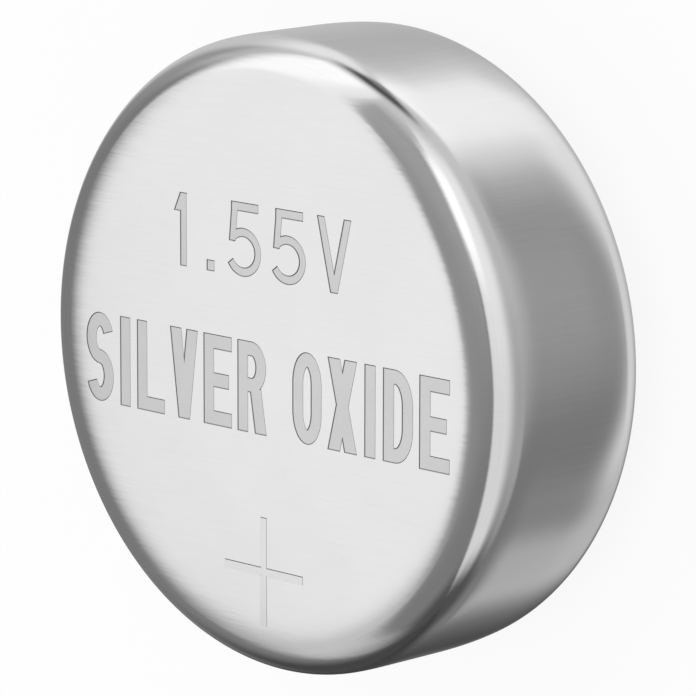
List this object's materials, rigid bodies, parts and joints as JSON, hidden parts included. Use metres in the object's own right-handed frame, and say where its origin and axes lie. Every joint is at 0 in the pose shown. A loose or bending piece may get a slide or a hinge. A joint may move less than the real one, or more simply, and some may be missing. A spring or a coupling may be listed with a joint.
{
  "type": "silver oxide button cell",
  "caption": "Round silver oxide button cell lying on its negative cap: a rolled-in can with a stamped plus, a gasket and a stepped cap, closed round pellet, separator and anode.",
  "frame": {"origin": "centre of the negative cap's flat, which is the bottom centre of the cell's box", "axes": "+Z is the cell's axis, from the negative flat up to the plus face; +Y points from the stamped plus to the centre, so that marks on the face read upright along +X"},
  "size_m": [0.0068, 0.0068, 0.0026],
  "materials": {
    "nickel_plate": "bright satin nickel plate with fine rolling lines on the face and draw lines on the side",
    "cap_nickel": "smooth nickel-clad sheet with fine scuffs",
    "gasket_nylon": "moulded natural nylon",
    "silver_oxide": "pressed powder",
    "ring_steel": "plain pressed sheet",
    "barrier_membrane": "thin dull film",
    "pad_felt": "wet felt",
    "zinc_gel": "metal powder in gel"
  },
  "bodies": {
    "root": {"positive_can": "nickel_plate", "negative_cap": "cap_nickel", "sealing_gasket": "gasket_nylon", "cathode_pellet": "silver_oxide", "support_ring": "ring_steel", "barrier_film": "barrier_membrane", "absorbent_pad": "pad_felt", "anode_gel": "zinc_gel"}
  },
  "joints": []
}
